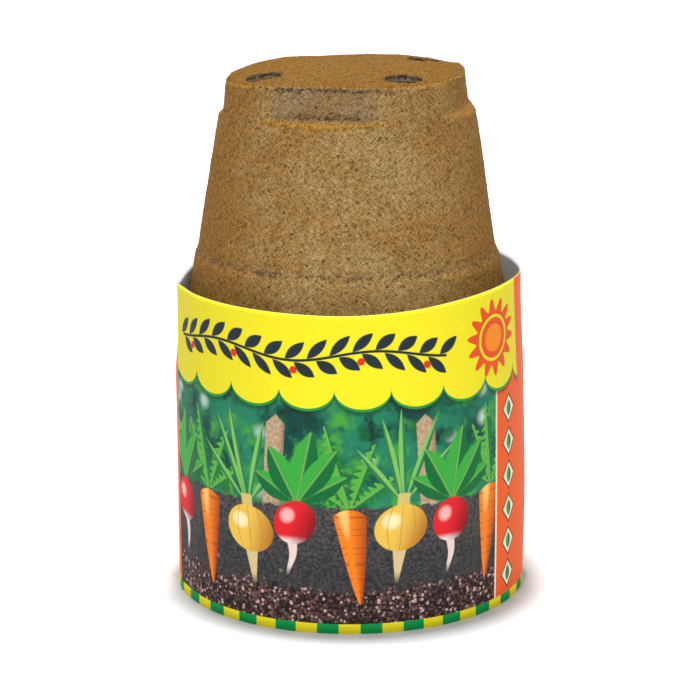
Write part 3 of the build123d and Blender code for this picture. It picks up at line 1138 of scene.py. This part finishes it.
# %% [markdown]
# ## The printed side
# The card is printed flat: a ground, then one shape over the other. A painted picture would be the usual
# way, but it would have one fixed sharpness, and its shapes couldn't be changed. So the print is laid by the
# shader like screens of ink, each with its own mask. A shape is plain sums of the place on the strip: an
# ellipse is x² + y² below 1, a box is both parts below 1, and a leaf is |y| below 1 - x². Things in a row
# are drawn once: the strip is folded into equal cells, and the number of the cell changes each thing a
# little.

# %% Shapes of ink
LEAF_DARK = (10, 92, 50)
LEAF_MID = (34, 146, 62)
YELLOW = (243, 230, 36)
ORANGE = (232, 92, 26)
CREAM = (240, 228, 200)
INK = (30, 44, 54)


def sine(wire):
    """The sine of an angle in radians."""
    return Wire.math("SINE", wire)


def square(x, y):
    """x² + y²."""
    return Wire.math("MULTIPLY_ADD", y, y, x * x)


class Painter:
    """Lays shapes over each other on the strip. Places are in millimetres: u goes right from the middle of
    the front, v goes up. Shapes use plain sums only, which keeps so long a shader small in memory."""

    def __init__(self):
        self.spot = Wire.node("ShaderNodeTexCoord")["Object"]
        along, up, _ = split(Wire.node("ShaderNodeUVMap", {"uv_map": "along and up"})["UV"])
        front = (FRONT - STRIP_START) / (STRIP_END - STRIP_START)
        self.u = (along - front) * STRIP_LENGTH
        self.v = up * SLEEVE_HEIGHT
        self.colour = LEAF_DARK

    def noise(self, per_mm, detail=2.0, roughness=0.55):
        """Noise with so many lumps to a millimetre."""
        return noise(self.spot, per_mm / MM, detail, roughness)

    def cells(self, per_mm):
        """The distance to the nearest random point, and two random numbers that belong to it."""
        out = Wire.node("ShaderNodeTexVoronoi", Vector=self.spot, Scale=per_mm / MM, Randomness=1.0)
        parts = Wire.node("ShaderNodeSeparateColor", Color=out["Color"])
        return out["Distance"], parts["Red"], parts["Green"]

    def lay(self, mask, colour):
        """Covers what is there where the mask is 1."""
        self.colour = mix(mask, self.colour, colour)

    def row(self, middle, pitch):
        """Folds the strip into cells of one pitch, one of them round middle: the place from the middle of
        the cell, and the cell's number."""
        cell = Wire.math("FLOOR", (self.u - middle) / pitch + 0.5)
        return self.u - middle - cell * pitch, cell

    def inside(self, at, u, v, width, height, turn=0.0):
        """The place in a shape of these half widths, turned by some degrees: two sums of the parts of at."""
        c, s = cos(radians(turn)), sin(radians(turn))
        x = Wire.math("MULTIPLY_ADD", at[0], c / width, -(u * c + v * s) / width)
        y = Wire.math("MULTIPLY_ADD", at[1], c / height, (u * s - v * c) / height)
        if turn:
            x = Wire.math("MULTIPLY_ADD", at[1], s / width, x)
            y = Wire.math("MULTIPLY_ADD", at[0], -s / height, y)
        return x, y

    def disc(self, at, u, v, width, height=None, turn=0.0, soft=0.25):
        """A filled ellipse."""
        height = height or width
        edge = soft / min(width, height)
        away = square(*self.inside(at, u, v, width, height, turn))
        return away.fall(max(0, 1 - edge) ** 2, (1 + edge) ** 2)

    def box(self, at, u, v, width, height, turn=0.0, soft=0.2):
        """A filled box."""
        x, y = self.inside(at, u, v, width, height, turn)
        across = abs(x).fall(1 - soft / width, 1 + soft / width)
        return across * abs(y).fall(1 - soft / height, 1 + soft / height)

    def leaf(self, at, u, v, size, width, turn, dark=LEAF_DARK, light=LEAF_MID, lobes=0.0, soft=0.2):
        """A leaf that grows from u and v, in two tones beside its rib. Lobes cut its edge into fine teeth."""
        c, s = cos(radians(turn)), sin(radians(turn))
        x, y = self.inside(at, u + size * c, v + size * s, size, width, turn)
        reach = abs(y)
        if lobes:
            reach = reach / (sine(x * lobes + reach * 3.0) * 0.34 + 0.62)
        mask = Wire.math("MULTIPLY_ADD", x, x, reach).fall(1 - soft / width, 1 + soft / width)
        rib = abs(y).ramp(0.03, 0.12, 0.35, 0.0)
        tone = mix(y.ramp(-0.25, 0.25), dark, light)
        self.lay(mask, mix(rib, tone, (170, 206, 110)))


print("painter ready")


# %% [markdown]
# ## The picture on the front
# Three kinds of root crop stand in dark earth before blurred greens, with plain wooden labels between them.
# Each could be an object of its own with its own picture, but all that varies is how it leans and how deep
# it stands. So each kind is drawn once, in a cell that repeats along the strip, and the number of the cell
# leans and lifts it. Each function takes the painter p and lays its shapes over what is there.

# %% Greens, labels and tops
SOIL_TOP = 46.5
PLANT_PITCH = 58.0
LABEL_MIDDLE = 29.5
LABEL_TOP = 80.0
# Each kind of plant, the middle of its first cell and the phase of its lean
PLANTS = (("feather", -58.0, 0.4), ("spear", -38.6, 2.2), ("broad", -19.0, 4.1))


def paint_leafage(p):
    """The blurred greens behind: slow noise in three tones, with pale spots of light between the leaves."""
    leaves = p.noise(0.1, 3.0, 0.6)
    p.colour = mix(p.noise(0.04, 3.0, 0.6).ramp(0.36, 0.58), (6, 66, 60), (30, 124, 92))
    p.lay(leaves.ramp(0.50, 0.68), (70, 160, 60))
    p.lay(leaves.ramp(0.45, 0.32), (8, 52, 44))
    away, chance, _ = p.cells(0.1)
    p.lay(away.ramp(0.05, 0.42, 0.75, 0.0) * chance.ramp(0.66, 0.7), (206, 226, 214))
    away, chance, _ = p.cells(0.16)
    p.lay(away.ramp(0.2, 0.5, 0.8, 0.0) * chance.ramp(0.6, 0.64), (16, 92, 50))


def paint_labels(p):
    """Plain wooden labels that stand in the bed, cut to a point above and shaded to the right."""
    x, cell = p.row(LABEL_MIDDLE, PLANT_PITCH)
    x = x + (p.v - SOIL_TOP) * 0.07 * sine(cell * 3.0 + 1.0)
    top = (p.v + abs(x) * 0.9).fall(LABEL_TOP - 0.4, LABEL_TOP + 0.2)
    wood = mix(p.grainy.ramp(0.35, 0.65), (198, 172, 140), (168, 138, 108))
    p.lay(abs(x).fall(3.4, 3.8) * top, mix(x.ramp(1.4, 3.6, 0.0, 0.6), wood, (112, 90, 70)))


def plant_place(p, middle, phase):
    """The folded place of one kind of plant: each one leans and stands a little differently."""
    x, cell = p.row(middle, PLANT_PITCH)
    y = p.v + sine(cell * 2.1 + phase) * 1.6
    return x + (y - SOIL_TOP) * 0.13 * sine(cell * 1.7 + phase), y


def paint_tops(p):
    """The green tops: feathery ones, straight spears and broad leaves. One half is drawn, and |x| gives
    the other."""
    foot = SOIL_TOP + 1.0
    for kind, at in p.plants.items():
        both = (abs(at[0]), at[1])
        if kind == "feather":
            tones = (26, 116, 48), (86, 176, 66)
            p.leaf(both, 0.5, foot, 11.0, 3.2, 33, *tones, lobes=26.0)
            p.leaf(at, 0.0, foot, 15.5, 3.6, 100, *tones, lobes=34.0)
            p.leaf(both, 0.3, foot, 13.5, 3.4, 64, *tones, lobes=30.0)
        elif kind == "spear":
            tones = (40, 122, 74), (126, 190, 96)
            p.leaf(both, 1.0, foot, 13.0, 1.3, 48, *tones)
            p.leaf(at, 0.2, foot, 17.0, 1.5, 97, *tones)
            p.leaf(both, 0.6, foot, 16.0, 1.4, 72, *tones)
        else:
            tones = (10, 104, 52), (58, 166, 64)
            p.leaf(both, 0.6, foot, 9.5, 4.0, 30, *tones)
            p.leaf(at, 0.0, foot, 13.0, 5.0, 84, *tones)
            p.leaf(both, 0.5, foot, 11.5, 4.4, 58, *tones)


print(len(PLANTS), "kinds of plant, one of each in every", PLANT_PITCH, "mm")


# %% Earth and roots
def paint_soil(p):
    """Dark earth with a ragged top, fine and slate grey above and crumbly below. Each crumb has a random
    tone, a few are pale, and here and there is a stone."""
    away, dark_chance, pale_chance = p.cells(0.85)
    crumb = mix(dark_chance, (30, 22, 24), (120, 84, 78))
    crumb = mix(pale_chance.ramp(0.80, 0.9), crumb, (200, 168, 162))
    crumb = mix((away + (p.grainy - 0.5) * 0.9).ramp(0.35, 0.7), crumb, (26, 20, 22))
    fine = mix(p.grainy.ramp(0.36, 0.66), (38, 44, 50), (92, 86, 82))
    fine = mix(p.v.ramp(20.0, 44.0, 0.45, 0.0), fine, (30, 34, 40))
    low = (p.v - p.bumps * 16.0).fall(7.0, 10.0)
    top = (p.v + p.bumps * 5.0).fall(SOIL_TOP + 2.2, SOIL_TOP + 3.0)
    p.lay(top, mix(low, fine, crumb))
    away, chance, tone = p.cells(0.09)
    stone = mix(tone, (120, 108, 98), (186, 172, 156))
    stone = mix(away.ramp(0.04, 0.16), stone, (84, 76, 70))
    p.lay(away.fall(0.12, 0.16) * chance.ramp(0.5, 0.52) * top, stone)


def shaded(p, mask, x, height, light, middle, dark):
    """Lays a round thing: lighter to the upper left, darker to the right, with x and height from -1 to 1."""
    tone = mix((x * 0.8 - height * 0.25).ramp(-0.2, 1.0), middle, dark)
    glint = square(x + 0.38, height - 0.3).ramp(0.0, 0.2, 0.8, 0.0)
    p.lay(mask, mix(glint, tone, light))


def paint_long_root(p):
    """A long taper, with t from 0 at its top to 1 at its tip and |x| below 6.4 (1 - t)^0.7, and with
    rings."""
    x, y = p.plants["feather"]
    t = (SOIL_TOP + 1.0 - y) / 36.0
    across = x / ((1 - t).most(0.001) ** 0.7 * 6.4).most(0.2)
    mask = abs(across).fall(0.93, 1.03) * (t - across * across * 0.07).ramp(0.0, 0.015) * t.fall(0.97, 1.0)
    rings = sine(y * 1.9 + sine(y * 0.8) * 1.6).ramp(0.75, 0.98, 0.0, 0.5) * abs(across + 0.3).ramp(0.1, 0.5)
    shaded(p, mask, across, 0.3 - t * 1.2, (255, 206, 120), (240, 128, 28), (168, 62, 12))
    p.lay(mask * rings, (150, 58, 14))


def paint_bulb(p):
    """A bulb with a tail and a neck, and with ribs that follow its curve."""
    x, y = p.plants["spear"]
    tail = (abs(x) + (y - 18.0) * -0.16).fall(0.5, 0.9)
    p.lay(tail * y.ramp(16.0, 22.0) * y.fall(34.0, 36.0), (214, 190, 140))
    a, b = x / 9.8, (y - 37.5) / 8.6
    ribs = abs(sine(a * (b * b * 0.5 + 1.0) * 6.0)).ramp(0.0, 0.3, 0.55, 0.0)
    bulb = square(a, b).fall(0.94, 1.05)
    neck = abs(x).fall(2.0, 2.5) * abs(y - SOIL_TOP).fall(3.4, 4.0)
    p.lay(neck, (206, 190, 110))
    shaded(p, bulb, a, b, (255, 244, 200), (232, 190, 78), (176, 106, 30))
    p.lay(bulb * ribs, (186, 120, 40))


def paint_round_root(p):
    """A small round root, pale below, with a waving pale tail."""
    x, y = p.plants["broad"]
    tail = (abs(x + sine(y * 0.4) * 0.6) + (y - 20.0) * -0.11).fall(0.3, 0.7)
    p.lay(tail * y.ramp(19.0, 24.0) * y.fall(36.0, 38.0), (232, 206, 200))
    a, b = x / 7.8, (y - 39.5) / 8.0
    ball = square(a, b).fall(0.93, 1.06)
    red = mix(b.ramp(-0.95, -0.6), (244, 226, 220), (222, 30, 42))
    shaded(p, ball, a, b, (255, 200, 196), red, (128, 10, 26))


print("earth and roots ready")

# %% [markdown]
# ## The frame round the picture, and the back
# Above the picture hangs a yellow awning with a garland and a sun, at its right is an orange margin, at the
# foot a checked border, and the back has two cream panels. They have sharp edges, which a texture would
# blur when it is seen from near, so they are drawn by formulas like the rest. What repeats is folded into
# cells, and what is the same on both sides is mirrored.

# %% Awning and garland
AWNING_TOP = 89.0
SCALLOP_PITCH = 20.0
SCALLOP_DEPTH = 7.0
TWIG_HEIGHT = 102.0
SUN_PLACE = (60.0, 102.5)
SUN_RED = (226, 82, 34)


def paint_awning(p):
    """The yellow band: all above a row of hanging half rounds, v above 89 - 7 root(1 - x²), with a thin
    shadow under the edge. It ends at the right in a slanting line."""
    x, _ = p.row(-75.0, SCALLOP_PITCH)
    edge = AWNING_TOP - Wire.math("SQRT", (1 - x * x * 0.01).most(0.0)) * SCALLOP_DEPTH
    above = p.v - edge
    right_edge = p.u - 76.3 + (p.v - 121.0) * 0.104
    on_front = right_edge.fall(-0.25, 0.25) * p.u.ramp(-85.2, -84.6)
    p.lay(above.ramp(-2.6, 0.2, 0.0, 0.7) * above.fall(0.0, 0.2) * on_front, (20, 28, 18))
    yellow = mix(abs(p.u - 4.0).ramp(10.0, 80.0), YELLOW, (228, 214, 38))
    p.lay(above.ramp(-0.15, 0.15) * on_front, mix(above.ramp(0.9, 1.1), LEAF_MID, yellow))
    p.lay(right_edge.ramp(-0.25, 0.25), ORANGE)


def paint_garland(p):
    """A waving twig with leaves on both sides and a berry here and there."""
    twig = sine(p.u * 0.105 + 0.6) * 1.9 + TWIG_HEIGHT
    p.lay(abs(p.v - twig).fall(0.35, 0.65) * abs(p.u + 20.5).fall(56.5, 56.9), INK)
    for middle, turn, side, count in ((-75.0, 40, 1, 15), (-71.6, -38, -1, 14)):
        x, cell = p.row(middle, 8.0)
        counted = cell.ramp(-0.6, -0.4) * cell.fall(count - 0.6, count - 0.4)
        along, across = p.inside((x, p.v - twig), 0.0, side * 3.5, 4.8, 1.95, turn)
        leaf = (abs(across) + along * along).fall(0.86, 1.08)
        p.lay(leaf * counted, INK)
    x, _ = p.row(-67.6, 24.0)
    p.lay(p.disc((x, p.v - twig), 0.0, -3.4, 1.35) * abs(p.u + 20.0).fall(54.0, 55.0), (214, 52, 28))


def paint_sun(p):
    """A disc, a ring round it and fourteen rays, whose reach waves with the direction."""
    x, y = p.inside((p.u, p.v), *SUN_PLACE, 1.0, 1.0)
    far = Wire.math("SQRT", square(x, y))
    rays = sine(Wire.math("ARCTAN2", y, x) * 14.0) * 2.2
    p.lay((far + rays).fall(12.0, 12.5) * far.ramp(8.3, 8.7), SUN_RED)
    p.lay(far.fall(7.2, 7.6), mix(far.ramp(4.9, 5.3), (240, 140, 36), SUN_RED))


print("awning, garland and sun ready")


# %% Margin, back and border
LOZENGE_PITCH = 12.6
LOZENGE_FOOT = 4.6
BACK_PANEL_SIDE = 137.5
BACK_PANEL_MIDDLE = 60.0
CHECK_SIZE = 7.8
CHECK_TOP = 3.8


def paint_margin(p):
    """The orange margin right of the picture, with a chain of cream lozenges that each hold a leaf."""
    u, v = p.u, p.v
    p.lay(u.ramp(61.4, 61.8) * u.fall(62.4, 62.8), CREAM)
    p.lay(u.ramp(62.4, 62.8), ORANGE)
    p.lay(u.fall(-84.8, -84.4), ORANGE)
    cell = Wire.math("FLOOR", (v - LOZENGE_FOOT) / LOZENGE_PITCH)
    x, y = u - 71.2, v - 10.9 - cell * LOZENGE_PITCH
    inside = v.ramp(LOZENGE_FOOT, 4.8) * v.fall(80.0, 80.2)
    lozenge = abs(x) * 0.19 + abs(y) * 0.17
    p.lay(lozenge.fall(0.95, 1.03) * inside, mix(lozenge.ramp(0.76, 0.84), CREAM, (120, 60, 30)))
    p.leaf((x, y), 0.0, -3.2, 3.2, 1.7, 90)


def paint_back(p):
    """Two cream panels with a green line, that each hold a sprig: drawn once, with the place mirrored."""
    at = (abs(p.u) - BACK_PANEL_SIDE, p.v - BACK_PANEL_MIDDLE)
    p.lay(p.box(at, 0.0, 0.0, 38.0, 36.0, soft=0.4), CREAM)
    line = p.box(at, 0.0, 0.0, 35.5, 33.5) * p.box(at, 0.0, 0.0, 34.9, 32.9).fall(0.0, 1.0)
    p.lay(line, LEAF_MID)
    p.lay(p.box(at, 0.0, -4.0, 0.7, 24.0), LEAF_DARK)
    both = (abs(at[0]), at[1])
    for k in range(5):
        p.leaf(both, 0.4, -22.0 + 9.5 * k, 10.5 - 1.2 * k, 3.1 - 0.3 * k, 32 + 5 * k)


def paint_border(p):
    """Green and yellow checks all the way round the foot."""
    cell = Wire.math("FLOOR", (p.u + CHECK_SIZE / 2) / CHECK_SIZE)
    odd = Wire.math("FLOORED_MODULO", cell, 2.0)
    p.lay(p.v.fall(CHECK_TOP - 0.3, CHECK_TOP), mix(odd, YELLOW, (0, 156, 76)))


print("margin, back and border ready")


# %% The printed card
PAINTERS = (paint_leafage, paint_labels, paint_tops, paint_soil, paint_long_root, paint_bulb,
            paint_round_root, paint_margin, paint_awning, paint_garland, paint_sun, paint_back, paint_border)


def print_material():
    """All layers of ink on card, with a satin surface and a fine grain."""
    material = start_material("printed card")
    p = Painter()
    p.grainy = p.noise(0.9, 3.0, 0.7)
    p.bumps = p.noise(0.35, 3.0, 0.65)
    grain = p.noise(1.4)
    p.plants = {kind: plant_place(p, middle, phase) for kind, middle, phase in PLANTS}
    for paint in PAINTERS:
        paint(p)
    ink = mix(grain.ramp(0.3, 0.7, 0.0, 0.06), p.colour, (120, 110, 100))
    bump = Wire.node("ShaderNodeBump", Strength=0.25, Distance=0.00006, Height=grain)["Normal"]
    shader = Wire.node("ShaderNodeBsdfPrincipled", Base_Color=ink, Normal=bump,
                       Roughness=grain.ramp(0.3, 0.7, 0.5, 0.6), Specular_IOR_Level=0.08)
    finish_surface(shader["BSDF"])
    return material


PRINT = print_material()
for material in (PRINT, BOARD, CUT_EDGE):
    sleeve.data.materials.append(material)
print(len(PRINT.node_tree.nodes), "nodes in", PRINT.name)

# %% [markdown]
# ## Floor, light and camera
# The pack stands on a white table before a white wall, with a soft shadow round its foot. A sheet lit until
# it is pure white would lose that shadow. So near the pack the floor is white by the lamps' light alone,
# and further away a glow takes over, which only the camera sees: the pack itself isn't lit from below. A
# small strong lamp above gives the shadow its place, a wide one in front and a weak one at each side keep
# the rest soft, and a little even light comes from all round. The camera's place and lens come from
# fitting it to the edges of the pack.

# %% Floor and world
EVEN_LIGHT = 0.26
FLOOR_CORNERS = [[-6000, -6000, 0], [6000, -6000, 0], [6000, 9000, 0], [-6000, 9000, 0]]
WHITE = (1, 1, 1, 1)


def seen():
    """1 for rays that come from the camera, straight or by way of something glossy or clear."""
    path = Wire.node("ShaderNodeLightPath")
    return path["Is Camera Ray"].most(path["Is Glossy Ray"]).most(path["Is Transmission Ray"])


def pale_floor():
    """A wide floor: for the camera a pale sheet plus the glow that grows with the squared distance in
    metres, and for all other rays a plain pale sheet."""
    piece = mesh_piece("floor", np.array(FLOOR_CORNERS, float), np.array([[0, 1, 2, 3]]), smooth=False)
    material = start_material("pale floor")
    x, y, _ = split(Wire.node("ShaderNodeTexCoord")["Object"])
    far = (x * x + y * y).ramp(0.012, 0.07)
    plain = Wire.node("ShaderNodeBsdfDiffuse", Color=(0.8, 0.8, 0.8, 1))["BSDF"]
    lit = Wire.node("ShaderNodeBsdfDiffuse", Color=(0.66, 0.66, 0.66, 1))["BSDF"]
    glow = Wire.node("ShaderNodeEmission", Color=WHITE, Strength=far * 0.95)["Emission"]
    both = Wire.tree.nodes.new("ShaderNodeAddShader")
    for socket, value in zip(both.inputs, (lit, glow)):
        Wire.plug(socket, value)
    choice = Wire.tree.nodes.new("ShaderNodeMixShader")
    for socket, value in zip(choice.inputs, (seen(), plain, Wire(both.outputs[0]))):
        Wire.plug(socket, value)
    finish_surface(Wire(choice.outputs[0]))
    piece.data.materials.append(material)


def white_world(strength):
    """Even light from all round, which the camera sees as white."""
    world = bpy.data.worlds.new("studio")
    world.use_nodes = True
    world.node_tree.nodes.clear()
    bpy.context.scene.world = world
    Wire.tree = world.node_tree
    level = seen() * (1 - strength) + strength
    back = Wire.node("ShaderNodeBackground", Color=WHITE, Strength=level)["Background"]
    finish_surface(back, "ShaderNodeOutputWorld")


pale_floor()
white_world(EVEN_LIGHT)
print("floor and world ready")


# %% Lamps
LIT_PLACE = (0, 0, 0.1)


def soft_lamp(name, place, size, power):
    """A square lamp of some size in metres and power in watts, turned to the pack."""
    lamp = bpy.data.lights.new(name, "AREA")
    lamp.size = size
    lamp.energy = power
    holder = bpy.data.objects.new(name, lamp)
    holder.location = place
    holder.rotation_euler = (Vector(LIT_PLACE) - Vector(place)).to_track_quat("-Z", "Y").to_euler()
    bpy.context.scene.collection.objects.link(holder)
    print(name, power, "W")


soft_lamp("front lamp", (0.0, -1.6, 1.1), 1.2, 17)
soft_lamp("top lamp", (-0.03, 0.05, 1.7), 0.16, 34)
soft_lamp("left lamp", (-1.6, -0.5, 0.7), 1.0, 2.5)
soft_lamp("right lamp", (1.6, -0.4, 0.7), 1.0, 2.5)

# %% Camera
FOCAL_PIXELS = 2671.4
PICTURE_PIXELS = 700
LOOKING_DOWN = 14.4326

camera = bpy.data.objects.new("camera", bpy.data.cameras.new("camera"))
camera.data.sensor_width = 36
camera.data.lens = FOCAL_PIXELS / PICTURE_PIXELS * 36
camera.location = (0.000514, -0.9617, 0.3355)
camera.rotation_euler = (radians(90 - LOOKING_DOWN), 0, 0)
bpy.context.scene.collection.objects.link(camera)
bpy.context.scene.camera = camera
bpy.context.scene.view_settings.view_transform = "Standard"
print("camera", [round(v, 3) for v in camera.location], "lens", round(camera.data.lens, 1))

# %% [markdown]
# ## Room on the shelf
# A shelf is planned by the solids, so what is seen must take up the same room, apart from loose fibres and
# the bends of the card.
